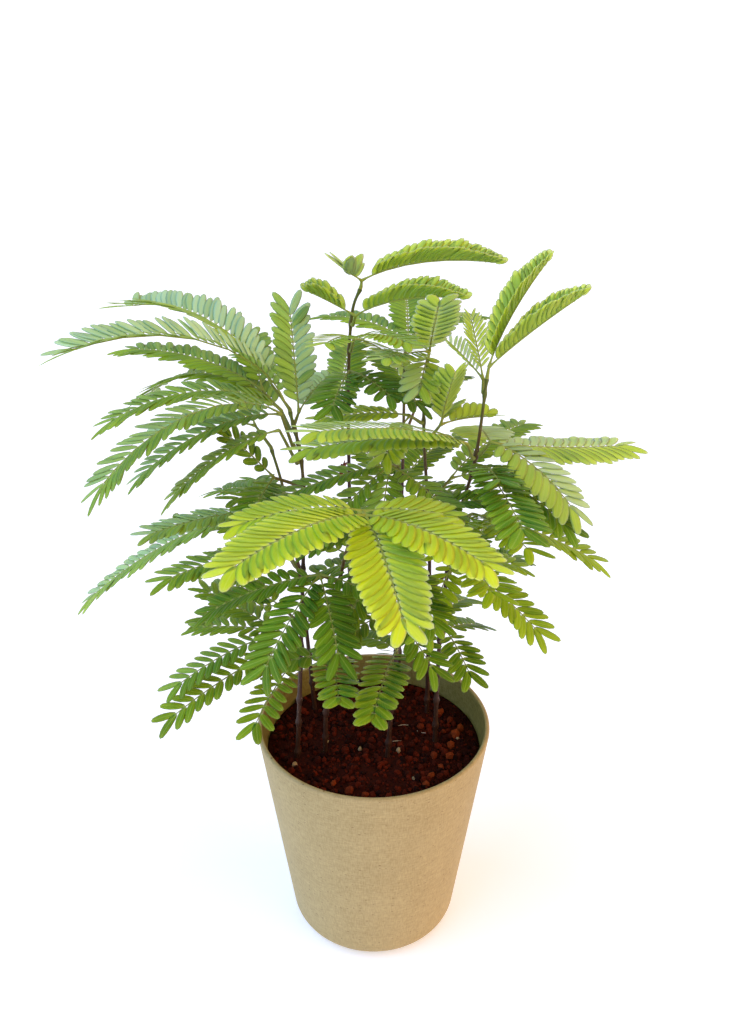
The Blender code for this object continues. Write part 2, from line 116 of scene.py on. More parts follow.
def millimetres(mat):
    """Object coordinates in millimetres, so that a pattern's scale is a count for each millimetre."""
    place = add(mat, "TexCoord").outputs["Object"]
    return add(mat, "Mapping", {}, {"Vector": place, "Scale": (1 / MM,) * 3})



print("black and white in linear light:", linear("#000000")[:3], linear("#ffffff")[:3])

# %% [markdown]
# Each piece goes through the same last steps: its bmesh becomes a mesh at the origin, it takes its finishes
# and smooth shading, it rides on the CAD body, and the CAD nodes that it replaces are hidden.

# %% Putting a piece in the scene
def linked(name, data):
    """A new object in the scene for a mesh, light or camera."""
    obj = bpy.data.objects.new(name, data)
    bpy.context.scene.collection.objects.link(obj)
    return obj


def mesh_of(name, bm):
    mesh = bpy.data.meshes.new(name)
    bm.to_mesh(mesh)
    bm.free()
    return mesh


def put(name, bm, mats, replaced=()):
    mesh = mesh_of(name, bm)
    for mat in mats:
        mesh.materials.append(mat)
    mesh.shade_smooth()
    piece = linked(name, mesh)
    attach(piece, "root")
    if replaced:
        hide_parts(*replaced)
    return piece


# %% [markdown]
# The photograph was taken from a little above the plant, looking down at it. The camera was found by
# fitting the pot's rim, sides and bottom. It has no shift and no depth of field, so other views can turn it
# round the plant.

# %% Camera
CAMERA_PLACE = (0, -0.4533, 0.4831)
CAMERA_PITCH = math.radians(27.61)
PHOTO_HEIGHT = 1024
FOCAL_PIXELS = 1100
FILM_HEIGHT = 36

camera = linked("photo_camera", bpy.data.cameras.new("photo_camera"))
camera.location = CAMERA_PLACE
camera.rotation_euler = (math.radians(90) - CAMERA_PITCH, 0, 0)
camera.data.sensor_width = FILM_HEIGHT
camera.data.lens = FILM_HEIGHT * FOCAL_PIXELS / PHOTO_HEIGHT
camera.data.clip_start = 10 * MM
bpy.context.scene.camera = camera
print("lens:", round(camera.data.lens, 2), "mm")

# %% [markdown]
# The object stands on a white table that glows a little from below, so that almost no shadow shows, under a
# plain pale sky. Two very wide suns light it evenly from edge to edge: cool daylight from the left, and a low
# warm light from the right. Together they give the two rows of a pinna slightly different colours.

# %% Floor and light
FLOOR_REACH = 30
TABLE_GLOW = 0.32
SKY_STRENGTH = 0.68
SUN_WIDTH = 70

bm = bmesh.new()
bmesh.ops.create_grid(bm, x_segments=2, y_segments=2, size=FLOOR_REACH)
floor = linked("floor", mesh_of("floor", bm))
pale_floor, lit = finish("white_light_table", "#fafafa", 0.9, 1.5)
feed(pale_floor, lit, "Emission Color", linear("#ffffff"))
feed(pale_floor, lit, "Emission Strength", TABLE_GLOW)
floor.data.materials.append(pale_floor)

sky = bpy.data.worlds.new("studio")
sky.use_nodes = True
sky.node_tree.nodes["Background"].inputs["Color"].default_value = linear("#fafcff")
sky.node_tree.nodes["Background"].inputs["Strength"].default_value = SKY_STRENGTH
bpy.context.scene.world = sky
bpy.context.scene.view_settings.view_transform = "Standard"


def wide_sun(name, colour, strength, place):
    """A sun that shines from the given place towards the origin and is as wide as a window wall."""
    sun = bpy.data.lights.new(name, "SUN")
    sun.color = linear(colour)[:3]
    sun.energy = strength
    sun.angle = math.radians(SUN_WIDTH)
    lamp = linked(name, sun)
    lamp.location = place
    lamp.rotation_euler = Vector(place).to_track_quat("Z", "Y").to_euler()


wide_sun("cool_daylight", "#80b8ff", 2.25, (-1, -0.35, 0.8))
wide_sun("warm_light", "#ffb14a", 1.65, (1, -0.35, 0.42))
print("lights:", [light.name for light in bpy.data.lights])

# %% [markdown]
# The pot is moulded from bamboo fibre and resin: a straight taper with a rounded foot and a thin round lip.
# A half outline turned once round the Z axis gives it in one closed body, with as many steps as a smooth
# edge needs. The CAD node gives the height and the rim, and four drain holes are cut where it has them.

# %% Pot
pot_low, pot_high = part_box("pot")
POT_HEIGHT = pot_high[2]
RIM_RADIUS = pot_high[0]
FOOT_RADIUS = 43.3 * MM
FOOT_ROUND = 10 * MM
WALL = 2.6 * MM
FLOOR_THICK = 3 * MM
POT_SIDES = 144
DRAIN_HOLES = 4
DRAIN_RADIUS = 4 * MM
DRAIN_RING = 22 * MM


def arc(centre, radius, start, end, steps):
    """Points on an arc in the (radius, height) plane; the angles are in degrees from +radius."""
    angles = [math.radians(start + (end - start) * i / steps) for i in range(steps + 1)]
    return [(centre[0] + radius * math.cos(a), centre[1] + radius * math.sin(a)) for a in angles]


def wall_radius(height, inset):
    """Radius of the pot's tapered wall at a height, less an inset."""
    return FOOT_RADIUS + (RIM_RADIUS - FOOT_RADIUS) * height / POT_HEIGHT - inset


def foot_corner(inset, floor_height, round_radius, steps):
    """The rounded corner between a floor and the tapered wall, from the floor outwards."""
    taper = math.degrees(math.atan2(RIM_RADIUS - FOOT_RADIUS, POT_HEIGHT))
    reach = round_radius / math.tan(math.radians(90 + taper) / 2)
    centre = (wall_radius(floor_height, inset) - reach, floor_height + round_radius)
    return arc(centre, round_radius, -90, -taper, steps)


def turned(profile, sides):
    """A half outline that starts and ends on the Z axis, turned into one closed body."""
    bm = bmesh.new()
    verts = [bm.verts.new((radius, 0, height)) for radius, height in profile]
    edges = [bm.edges.new(pair) for pair in zip(verts, verts[1:])]
    bmesh.ops.spin(bm, geom=verts + edges, cent=(0, 0, 0), axis=(0, 0, 1),
                   angle=math.tau, steps=sides, use_merge=True)
    bmesh.ops.remove_doubles(bm, verts=bm.verts, dist=0.001 * MM)
    bmesh.ops.recalc_face_normals(bm, faces=bm.faces)
    return bm


lip = WALL / 2
outline = [(0, 0)]
outline += foot_corner(0, 0, FOOT_ROUND, steps=10)
outline += [(wall_radius(POT_HEIGHT * part / 4, 0), POT_HEIGHT * part / 4) for part in (1, 2, 3)]
outline += arc((wall_radius(POT_HEIGHT - lip, lip), POT_HEIGHT - lip), lip, 0, 180, steps=10)
outline += reversed(foot_corner(WALL, FLOOR_THICK, FOOT_ROUND - WALL, steps=6))
outline.append((0, FLOOR_THICK))
pot_bm = turned(outline, POT_SIDES)
print("pot's half outline:", len(outline), "points")

# %% [markdown]
# The pot's finish: resin with ground bamboo in it is matte and beige. Short fibres lie in all directions and
# show as a faint linen look, and bits of the brown outer skin of the cane show as small specks. The fibres
# are 0.1 mm in life and are drawn about 0.5 mm wide here, because finer ones wouldn't show. The specks are up
# to 1.3 mm long and 0.5 mm high.

# %% Pot finish
# Counts for each millimetre along X, Y and Z
LYING_FIBRES = (0.25, 0.25, 2.2)
UPRIGHT_FIBRES = (1.9, 1.9, 0.22)
SPECK_CELLS = (0.3, 0.3, 0.75)
CLOUDS = 0.035


def bamboo_fibre(name, light, shade, fleck):
    mat, shader = finish(name, light, 0.62, 1.5)
    feed(mat, shader, "Specular IOR Level", 0.35)
    place = millimetres(mat)
    cloud = add(mat, "TexNoise", {}, {"Vector": place, "Scale": CLOUDS, "Detail": 3})
    flat = add(mat, "Mapping", {}, {"Vector": place, "Scale": LYING_FIBRES})
    upright = add(mat, "Mapping", {}, {"Vector": place, "Scale": UPRIGHT_FIBRES})
    across = add(mat, "TexNoise", {}, {"Vector": flat, "Scale": 1, "Detail": 4})
    along = add(mat, "TexNoise", {}, {"Vector": upright, "Scale": 1, "Detail": 4})
    weave = add(mat, "Math", {"operation": "ADD"}, {0: across, 1: along})
    clouded = add(mat, "Math", {"operation": "MULTIPLY_ADD"}, {0: cloud, 1: 0.4, 2: weave})
    share = add(mat, "MapRange", {}, {"Value": clouded, "From Min": 0.92, "From Max": 1.5})
    ground = add(mat, "ValToRGB", {}, {"Fac": share}, [(0, shade), (1, light)])
    dashes = add(mat, "Mapping", {}, {"Vector": place, "Scale": SPECK_CELLS})
    cells = add(mat, "TexVoronoi", {}, {"Vector": dashes, "Scale": 1})
    chosen = add(mat, "SeparateColor", {}, {"Color": cells.outputs["Color"]})
    size = add(mat, "Math", {"operation": "MULTIPLY_ADD"}, {0: chosen, 1: 0.34, 2: -0.14})
    speck = add(mat, "Math", {"operation": "LESS_THAN"}, {0: cells, 1: size})
    darker = add(mat, "Math", {"operation": "MULTIPLY"}, {0: speck, 1: 0.7})
    paint = add(mat, "Mix", {"data_type": "RGBA"}, {"Factor": darker, "A": ground, "B": linear(fleck)})
    feed(mat, shader, "Base Color", paint)
    bump = add(mat, "Bump", {}, {"Height": weave, "Strength": 0.25, "Distance": 0.06 * MM})
    feed(mat, shader, "Normal", bump)
    return mat


pot_outside = bamboo_fibre("bamboo_fibre_moulded", "#bea773", "#a38c5a", "#684b27")
# The inside wall takes darker, greener copies of the fibre colours: painted shade inside the pot and a
# painted green reflection of the leaves.
pot_inside_painted_shade = bamboo_fibre("bamboo_fibre_painted_shade", "#9a8a4c", "#776828", "#5a4418")
for face in pot_bm.faces:
    middle = face.calc_center_median()
    within = middle.xy.length < wall_radius(middle.z, WALL * 0.8)
    face.material_index = 1 if within and middle.z > FLOOR_THICK / 2 else 0
pot = put("pot_shell", pot_bm, [pot_outside, pot_inside_painted_shade], ["pot"])
for hole in range(DRAIN_HOLES):
    angle = math.tau * (hole + 0.5) / DRAIN_HOLES
    spot = Vector((DRAIN_RING * math.cos(angle), DRAIN_RING * math.sin(angle), FLOOR_THICK / 2))
    drill_bm = bmesh.new()
    bmesh.ops.create_cone(drill_bm, cap_ends=True, segments=32, radius1=DRAIN_RADIUS, radius2=DRAIN_RADIUS,
                          depth=3 * FLOOR_THICK, matrix=Matrix.Translation(spot))
    drill = linked("drill", mesh_of("drill", drill_bm))
    cut = pot.modifiers.new("drain", "BOOLEAN")
    cut.operation = "DIFFERENCE"
    cut.solver = "EXACT"
    cut.object = drill
    drilled = bpy.data.meshes.new_from_object(pot.evaluated_get(bpy.context.evaluated_depsgraph_get()))
    pot.modifiers.clear()
    pot.data = drilled
    bpy.data.objects.remove(drill, do_unlink=True)
print("pot:", round(2 * RIM_RADIUS / MM), "x", round(POT_HEIGHT / MM), "mm,",
      len(pot.data.polygons), "faces")

# %% [markdown]
# The soil is damp bark compost. Its body is one turned plug whose top is a fine grid of rings, pushed up and
# down by noise. The loose bits on it are separate shapes, because a bump map alone looks flat from the side.

# %% Soil bed
SOIL_TOP = 110 * MM
GAP = 0.3 * MM
SOIL_RINGS = 34
SOIL_SIDES = 120
BROAD_WAVE = 14 * MM
FINE_WAVE = 3.2 * MM
BROAD_RISE = 1.1
FINE_RISE = 0.8
OTHER_NOISE = 30 * MM


def bed_height(x, y):
    """How far the soil's surface stands above its level."""
    broad = noise.noise(Vector((x, y, 0)) / BROAD_WAVE)
    fine = noise.noise(Vector((x, y, OTHER_NOISE)) / FINE_WAVE)
    return (BROAD_RISE * broad + FINE_RISE * fine) * MM


edge = wall_radius(SOIL_TOP, WALL + GAP)
outline = [(0, FLOOR_THICK + GAP)]
outline += foot_corner(WALL + GAP, FLOOR_THICK + GAP, FOOT_ROUND - WALL, steps=4)
outline += [(edge * (SOIL_RINGS - ring) / SOIL_RINGS, SOIL_TOP) for ring in range(SOIL_RINGS)]
outline.append((0, SOIL_TOP))
bed_bm = turned(outline, SOIL_SIDES)
for vert in bed_bm.verts:
    if vert.co.z > SOIL_TOP - GAP and vert.co.xy.length < edge - GAP:
        vert.co.z += bed_height(vert.co.x, vert.co.y)
print("soil's edge:", round(edge / MM, 1), "mm from the middle")

# %% Soil finish
GRAINS = 0.9


def compost(name, wet, dry, roughness):
    """Bark compost is dark and rough where damp, and redder where dry; its grains are 1 mm wide."""
    mat, shader = finish(name, wet, roughness, 1.45)
    feed(mat, shader, "Specular IOR Level", 0.15)
    tone = add(mat, "Attribute", {"attribute_name": "tone"}).outputs["Fac"]
    grain = add(mat, "TexNoise", {}, {"Vector": millimetres(mat), "Scale": GRAINS, "Detail": 6,
                                      "Roughness": 0.7})
    dryness = add(mat, "Math", {"operation": "MULTIPLY_ADD"}, {0: grain, 1: 0.8, 2: tone})
    paint = add(mat, "ValToRGB", {}, {"Fac": dryness}, [(0.2, wet), (1.1, dry)])
    feed(mat, shader, "Base Color", paint)
    bump = add(mat, "Bump", {}, {"Height": grain, "Strength": 0.6, "Distance": 0.4 * MM})
    feed(mat, shader, "Normal", bump)
    return mat


bark_compost = compost("bark_compost_damp", "#1a0300", "#5e1a04", 0.9)
bark_bits = compost("bark_bits", "#200400", "#742206", 0.85)
clay_bits = compost("fired_clay_bits", "#5a1a05", "#a84a1a", 0.8)
grit = compost("tan_grit", "#8c6c48", "#d9bd92", 0.75)
bed = put("soil_bed", bed_bm, [bark_compost], ["soil"])
print("soil bed:", len(bed.data.polygons), "faces")

# %% [markdown]
# Loose bark, clay and grit are small faceted balls, each squeezed and turned by chance. There are thousands,
# so each has only twenty faces. The few larger lumps, the tan grit and three white fungus threads lie where
# the photograph shows them.

# %% Loose bits on the soil
STEM_FEET = [(-25, -7), (32, 1), (-39, -11), (-12, 45), (7, -11), (29, 26), (14, 45), (-32, 29)]
CLAY_LUMPS = [(43, 5, 3.6), (40, -3, 2.8), (46, 11, 2.6), (37, 8, 2.2), (34, -20, 2.4), (-12, -38, 3),
              (41, 17, 3), (31, -12, 2.5), (25, 12, 2.3), (39, -12, 2.7), (29, -26, 2.4), (36, 24, 2.3),
              (-4, -41, 2.4), (26, -33, 2), (-20, -32, 2)]
GRIT = [(-40, -18, 2), (13, -7, 1.7), (-7, -5, 1.4), (44, 3, 1.2), (-24, 0, 1), (20, -28, 1.1),
        (2, 20, 1.2)]
STEM_CLEAR = 2.2
BIT_FACES = 20
SQUEEZE = (0.65, 1.15)
DENT = 0.14
BARK_LIFTS = (0, 0.5)
BARK_TONES = (-0.3, 0.35)
LUMP_LIFT = 0.45
LUMP_TONES = (-0.1, 0.3)


def bit(bm, x, y, size, lift, tone):
    """One loose bit of the given radius, resting in the surface at (x, y), all in millimetres."""
    turn = Euler([chance.uniform(0, math.tau) for _ in range(3)]).to_matrix().to_4x4()
    squeeze = Matrix.Diagonal([size * MM * chance.uniform(*SQUEEZE) for _ in range(3)] + [1])
    spot = Vector((x * MM, y * MM, SOIL_TOP + bed_height(x * MM, y * MM) + lift * size * MM))
    made = bmesh.ops.create_icosphere(bm, subdivisions=1, radius=1,
                                      matrix=Matrix.Translation(spot) @ turn @ squeeze)
    for vert in made["verts"]:
        vert.co += Vector([chance.uniform(-DENT, DENT) * size * MM for _ in range(3)])
        for face in vert.link_faces:
            face[bm.faces.layers.float["tone"]] = tone


def scatter(count, smallest, largest):
    """Bits strewn by chance over the soil, most of them small, clear of the wall and the stems."""
    bm = bmesh.new()
    bm.faces.layers.float.new("tone")
    while count:
        x, y = (chance.uniform(-1, 1) * edge / MM for _ in range(2))
        size = smallest + (largest - smallest) * chance.random() ** 3
        nearest = min(math.hypot(x - a, y - b) for a, b in STEM_FEET)
        if math.hypot(x, y) > edge / MM - size or nearest < STEM_CLEAR + size:
            continue
        bit(bm, x, y, size, chance.uniform(*BARK_LIFTS), chance.uniform(*BARK_TONES))
        count -= 1
    return bm


def lumps(spots):
    bm = bmesh.new()
    bm.faces.layers.float.new("tone")
    for x, y, size in spots:
        bit(bm, x, y, size, LUMP_LIFT, chance.uniform(*LUMP_TONES))
    return bm


loose = [put("bark_bits", scatter(count=2300, smallest=0.6, largest=2.3), [bark_bits]),
         put("clay_lumps", lumps(CLAY_LUMPS), [clay_bits]),
         put("tan_grit", lumps(GRIT), [grit])]
for piece in loose:
    piece.data.shade_flat()
print("loose bits:", sum(len(piece.data.polygons) for piece in loose) // BIT_FACES)

# %% [markdown]
# The tree's layout is the CAD model's own: the stems' routes and every leaf's stalks and pinnae, given in
# millimetres and degrees with the photograph as a guide. Leaves that it doesn't show are a guess. A
# heading of 0 is +X and -90 the front, a rise is how steeply a pinna climbs from its base to its tip, and a
# droop is how far it bends down on the way.

# %% Layout of the seedlings
Pinna = namedtuple("Pinna", "heading rise length droop")

# How far a pinna droops from its base to its tip, in degrees
LIFTED = -15
STIFF = 12
EASY = 30
ARCHED = 45
DROOPING = 60
WEEPING = 88
CURLED = 105

# Each seedling: its stem's route from the soil up (x, y, z in mm), then its leaves from the top down.
# A leaf is the height where it leaves the stem, then one or two steps. A step is the petiole's or
# rachis's (heading, rise, length) and the pinnae at its end as (heading, rise, length, droop).
# The seedlings that show most come first, because a later pinna bends clear of the earlier ones.
SEEDLINGS = {
    "1": ([(-25, -7, 110), (-22, -14, 170), (-14, -28, 232), (-6, -43, 268)], [
        (268, [((-70, 35, 5), [(-160, 0, 66, ARCHED), (-10, -1, 48, EASY)]),
               ((-80, 15, 8), [(-133, 1, 88, ARCHED), (-38, -6, 74, ARCHED),
                              (-75, -20, 74, ARCHED)])]),
        (225, [((-150, 30, 12), [(-175, -20, 60, EASY), (-120, -30, 60, EASY), (-75, -32, 50, EASY),
                                (-15, -12, 46, EASY)])]),
        (172, [((-80, 45, 18), [(-85, 15, 70, EASY), (-165, -10, 42, EASY)])]),
    ]),
    "2": ([(32, 1, 110), (33, 0, 180), (38, 0, 235), (46, 0, 272), (50, 4, 310)], [
        (310, [((-60, 80, 6), [(12, 60, 66, EASY), (-15, 42, 66, STIFF)])]),
        (303, [((100, 60, 7), [(100, 38, 44, STIFF), (120, 32, 40, STIFF)])]),
        (276, [((-35, 45, 10), [(-41, -27, 62, DROOPING), (17, -8, 80, LIFTED),
                               (92, -15, 55, STIFF)])]),
        (274, [((-125, 50, 12), [(-145, 16, 100, EASY), (-160, 5, 90, EASY)])]),
        (268, [((-75, 30, 12), [(-85, 15, 50, EASY), (-80, -5, 75, EASY), (-35, -18, 56, EASY)])]),
        (242, [((-35, 35, 9), [(-5, -22, 70, EASY), (-65, 5, 58, EASY), (-100, 10, 70, EASY),
                              (-140, -12, 56, EASY)])]),
        (214, [((-75, 50, 16), [(-40, -25, 60, EASY), (-80, 15, 75, ARCHED), (10, -15, 38, EASY),
                               (-115, -28, 48, EASY)])]),
        (175, [((-80, 50, 16), [(-70, -15, 38, EASY), (60, -25, 40, EASY)])]),
    ]),
    "3": ([(-39, -11, 110), (-35, -9, 182), (-32, -3, 262), (-37, 0, 296)], [
        (296, [((-130, 60, 8), [(-166, 15, 113, CURLED)]),
               ((170, 55, 9), [(144, 9, 106, WEEPING)])]),
        (290, [((70, 25, 8), [(65, 5, 45, EASY), (100, 58, 56, STIFF)])]),
        (287, [((130, 40, 11), [(-170, -3, 90, WEEPING), (148, -11, 106, WEEPING)]),
               ((140, 30, 14), [(152, 4, 84, ARCHED), (105, 25, 42, EASY)])]),
        (281, [((-125, 62, 20), [(-149, -14, 104, CURLED), (-170, -24, 78, DROOPING)])]),
        (273, [((-110, 50, 30), [(-176, -34, 64, ARCHED)])]),
        (262, [((-150, 25, 16), [(-175, 38, 36, STIFF), (-105, -12, 40, EASY)])]),
        (251, [((115, -5, 16), [(-140, 12, 40, EASY), (145, -15, 58, EASY)])]),
        (219, [((-135, 58, 19), [(-152, -3, 66, EASY), (140, -24, 60, STIFF)])]),
        (177, [((-125, 48, 20), [(150, 12, 54, STIFF), (-152, -15, 64, ARCHED), (178, 0, 50, EASY)])]),
        (166, [((-105, 45, 12), [(-108, 0, 58, EASY)]),
               ((-125, 50, 16), [(-138, -3, 68, EASY)])]),
    ]),
    "4": ([(-12, 45, 110), (-12, 40, 222), (-12, 34, 290), (-10, 30, 330), (-6, 30, 343)], [
        (343, [((0, 80, 4), [(-5, 7, 76, ARCHED), (-115, 25, 25, STIFF)])]),
        (327, [((-70, 42, 8), [(-18, 12, 66, ARCHED), (-178, 27, 36, STIFF)])]),
        (314, [((-80, 40, 14), [(-50, 8, 48, ARCHED), (-108, 12, 48, EASY), (60, -25, 62, EASY)])]),
        (297, [((-85, 50, 11), [(-58, -3, 44, EASY), (-100, -5, 48, EASY), (-15, -15, 46, EASY)])]),
        (262, [((110, 40, 18), [(85, 15, 70, ARCHED), (135, 10, 80, ARCHED)])]),
        (185, [((100, 35, 14), [(80, -5, 74, ARCHED), (150, -10, 64, ARCHED)])]),
    ]),
    "5": ([(7, -11, 110), (12, -10, 190), (13, -6, 245), (11, -3, 270)], [
        (270, [((-120, 30, 8), [(-100, -35, 32, EASY), (-45, -28, 45, EASY), (-178, -14, 58, EASY),
                               (-150, -38, 52, EASY)])]),
        (245, [((-90, 40, 12), [(-172, -5, 60, EASY), (0, -12, 50, EASY)])]),
        (225, [((-110, 35, 14), [(-70, -20, 56, EASY), (-135, -18, 58, EASY), (180, -15, 54, EASY)])]),
        (198, [((-110, 30, 14), [(-142, -16, 48, EASY), (-55, -25, 44, EASY), (170, -12, 44, EASY)])]),
        (175, [((-90, 40, 10), [(-95, 8, 78, EASY), (125, -25, 50, EASY)])]),
    ]),
    "6": ([(29, 26, 110), (28, 24, 210), (24, 21, 270), (23, 20, 298)], [
        (298, [((-70, 75, 22), [(-80, 38, 50, STIFF), (-125, 10, 46, STIFF), (88, -8, 38, STIFF),
                               (-112, -48, 36, EASY)])]),
        (283, [((-125, 30, 14), [(-160, 22, 50, EASY), (-90, -15, 36, EASY)])]),
        (273, [((-70, 40, 24), [(-75, 60, 44, STIFF), (75, -5, 36, EASY), (15, -22, 38, EASY)])]),
        (240, [((30, 35, 16), [(5, -8, 66, ARCHED), (50, 5, 74, ARCHED)])]),
        (190, [((20, 35, 16), [(30, -12, 50, ARCHED), (65, -5, 66, ARCHED)])]),
        (158, [((60, 35, 12), [(60, -15, 46, ARCHED), (100, -15, 56, ARCHED)])]),
    ]),
    "7": ([(14, 45, 110), (14, 48, 185), (15, 53, 262), (15, 58, 300)], [
        (300, [((70, 45, 9), [(45, 0, 60, ARCHED), (90, 8, 62, ARCHED), (140, 0, 65, ARCHED)])]),
        (262, [((60, 40, 18), [(60, -5, 62, ARCHED), (110, 5, 72, ARCHED)])]),
        (215, [((95, 35, 20), [(60, 0, 80, ARCHED), (120, 0, 82, ARCHED), (-25, 2, 50, EASY)])]),
        (172, [((75, 35, 18), [(70, -5, 66, ARCHED), (125, -8, 68, ARCHED)])]),
    ]),
    "8": ([(-32, 29, 110), (-37, 27, 190), (-43, 26, 240), (-49, 30, 264)], [
        (264, [((150, 50, 14), [(110, 0, 76, ARCHED), (165, -15, 68, ARCHED)])]),
        (228, [((-135, 35, 17), [(-178, -29, 113, ARCHED), (-150, 2, 68, EASY)])]),
        (200, [((135, 35, 18), [(105, 0, 78, ARCHED), (160, -5, 74, ARCHED)])]),
        (165, [((165, 35, 16), [(140, -10, 60, ARCHED), (-170, -8, 50, ARCHED)])]),
    ]),
}

print("seedlings:", len(SEEDLINGS), "leaves:", sum(len(rows) for _, rows in SEEDLINGS.values()))

# %% [markdown]
# A pinna's rib falls in one smooth bend. Adding up short steps along it gives any point on it, which is how
# the CAD solids were made, so the same few lines put the fine leaflets where the solids are.

# %% Lines of the stems, stalks and ribs
DROOP_EASE = 0.6
RIB_SAMPLES = 16
ROOT_DEPTH = 14 * MM
STEM_FOOT_RADIUS = 1.6 * MM
STEM_TIP_RADIUS = 0.9 * MM
STEM_STEP = 32 * MM
COLLAR = 1.2 * MM


def direction(heading, rise):
    heading, rise = math.radians(heading), math.radians(rise)
    flat = math.cos(rise)
    return Vector((flat * math.cos(heading), flat * math.sin(heading), math.sin(rise)))


def rib_direction(pinna, share):
    slope = pinna.rise + pinna.droop * (1 / (1 + DROOP_EASE) - share ** DROOP_EASE)
    return direction(pinna.heading, slope)


def rib_point(fork, pinna, reach):
    """A point on the pinna's rib, found by adding up short steps of the reach in millimetres."""
    step = reach / RIB_SAMPLES
    point = fork.copy()
    for i in range(RIB_SAMPLES):
        point += rib_direction(pinna, (i + 0.5) * step / pinna.length) * step * MM
    return point


def smooth_route(points, step):
    """Points about a step apart on a smooth curve through the route's own points."""
    ends = [points[0]] + points + [points[-1]]
    route = []
    for before, start, end, after in zip(ends, ends[1:], ends[2:], ends[3:]):
        count = max(1, round((end - start).length / step))
        for i in range(count):
            t = i / count
            route.append(0.5 * (
                2 * start
                + (end - before) * t
                + (2 * before - 5 * start + 4 * end - after) * t ** 2
                + (3 * start - 3 * end + after - before) * t ** 3))
    route.append(points[-1])
    return route


def stem_route(route, step):
    points = [Vector(point) * MM for point in route]
    return [points[0] - Vector((0, 0, ROOT_DEPTH))] + smooth_route(points, step)


def stem_radius(height, top):
    share = max(0, (height - SOIL_TOP) / (top - SOIL_TOP))
    return STEM_FOOT_RADIUS + (STEM_TIP_RADIUS - STEM_FOOT_RADIUS) * share


def point_on(line, height):
    for low, high in zip(line, line[1:]):
        if low.z <= height <= high.z:
            return low.lerp(high, (height - low.z) / (high.z - low.z))
    return line[-1].copy()


def petiole_points(line, height, steps):
    """The stalk's points: a short collar off the stem, then the end of each step."""
    height *= MM
    on_stem = point_on(line, height)
    forks = []
    point = on_stem
    for (heading, rise, length), _ in steps:
        point = point + direction(heading, rise) * length * MM
        forks.append(point)
    if height >= line[-1].z - STEM_TIP_RADIUS:
        along = (line[-1] - line[-2]).normalized()
        start = line[-1] + along * GAP
        return [start, start + along * COLLAR] + forks
    outward = direction(steps[0][0][0], 0)
    start = on_stem + outward * (stem_radius(height, line[-1].z) + GAP)
    return [start, start + outward * COLLAR] + forks


print("tip of a drooping rib of 100 mm:", rib_point(Vector(), Pinna(0, 0, 100, DROOPING), 100))

# %% [markdown]
# Stems and stalks are round and change in thickness along their length. A curve with a round bevel does
# that with one radius for each point, and is then made a mesh.

# %% Tubes along lines
def tubes(lines, resolution):
    """A mesh of closed round tubes; a line is a list of (point, radius)."""
    curve = bpy.data.curves.new("tubes", "CURVE")
    curve.dimensions = "3D"
    curve.bevel_depth = 1
    curve.bevel_resolution = resolution
    curve.use_fill_caps = True
    for line in lines:
        spline = curve.splines.new("POLY")
        spline.points.add(len(line) - 1)
        for spot, (point, radius) in zip(spline.points, line):
            spot.co = (*point, 1)
            spot.radius = radius
    drawn = bpy.data.objects.new("tubes", curve)
    mesh = bpy.data.meshes.new_from_object(drawn)
    bpy.data.objects.remove(drawn, do_unlink=True)
    return mesh


# %% [markdown]
# A seedling's bark is thin, brown and a little shiny, with pale pores called lenticels, and it turns green
# towards the growing tip. Old leaves leave a swollen ring on the stem, and each leaf stands on one.

# %% Bark finish
# Counts for each millimetre: streaks 0.6 mm wide and 8 mm long, and a lenticel about every millimetre
STREAKS = (1.6, 1.6, 0.12)
LENTICELS = (0.9, 0.9, 0.45)


def young_bark():
    mat, shader = finish("young_bark", "#4a2c1a", 0.55, 1.45)
    place = millimetres(mat)
    streak = add(mat, "Mapping", {}, {"Vector": place, "Scale": STREAKS})
    bands = add(mat, "TexNoise", {}, {"Vector": streak, "Scale": 1, "Detail": 5})
    tone = add(mat, "Attribute", {"attribute_name": "tone"}).outputs["Fac"]
    age = add(mat, "Math", {"operation": "MULTIPLY_ADD"}, {0: bands, 1: 0.5, 2: tone})
    ground = add(mat, "ValToRGB", {}, {"Fac": age},
                 [(0.12, "#24120b"), (0.36, "#4a2a16"), (0.58, "#5c4a1c"), (0.85, "#66752a")])
    ovals = add(mat, "Mapping", {}, {"Vector": place, "Scale": LENTICELS})
    pores = add(mat, "TexVoronoi", {}, {"Vector": ovals, "Scale": 1})
    spot = add(mat, "Math", {"operation": "LESS_THAN"}, {0: pores, 1: 0.17})
    paler = add(mat, "Math", {"operation": "MULTIPLY"}, {0: spot, 1: 0.45})
    paint = add(mat, "Mix", {"data_type": "RGBA"}, {"Factor": paler, "A": ground, "B": linear("#a4835c")})
    feed(mat, shader, "Base Color", paint)
    bump = add(mat, "Bump", {}, {"Height": bands, "Strength": 0.5, "Distance": 0.15 * MM})
    feed(mat, shader, "Normal", bump)
    return mat


bark = young_bark()
print("bark nodes:", len(bark.node_tree.nodes))

# %% Stems
BARE_STEM = 0.74
NODE_SWELL = 0.65
NODE_REACH = 1.8 * MM
SCARS = 3
SCAR_STEP = 17
SCAR_STRAY = 6
GREEN_TOP = 70 * MM
GREENEST = 0.55
FINE_STEP = 1.5 * MM


def stem_line(route, rows):
    """A stem's points and radii: it tapers, and swells where leaves stand or have stood."""
    line = stem_route(route, FINE_STEP)
    top = line[-1].z
    lowest = rows[-1][0]
    rings = [height * MM for height, _ in rows]
    rings += [(lowest - SCAR_STEP * i - chance.uniform(0, SCAR_STRAY)) * MM for i in range(1, SCARS + 1)]
    drawn = []
    for point in line:
        swell = sum(math.exp(-((point.z - ring) / NODE_REACH) ** 2) for ring in rings)
        drawn.append((point, stem_radius(point.z, top) * BARE_STEM * (1 + NODE_SWELL * min(1, swell))))
    return drawn


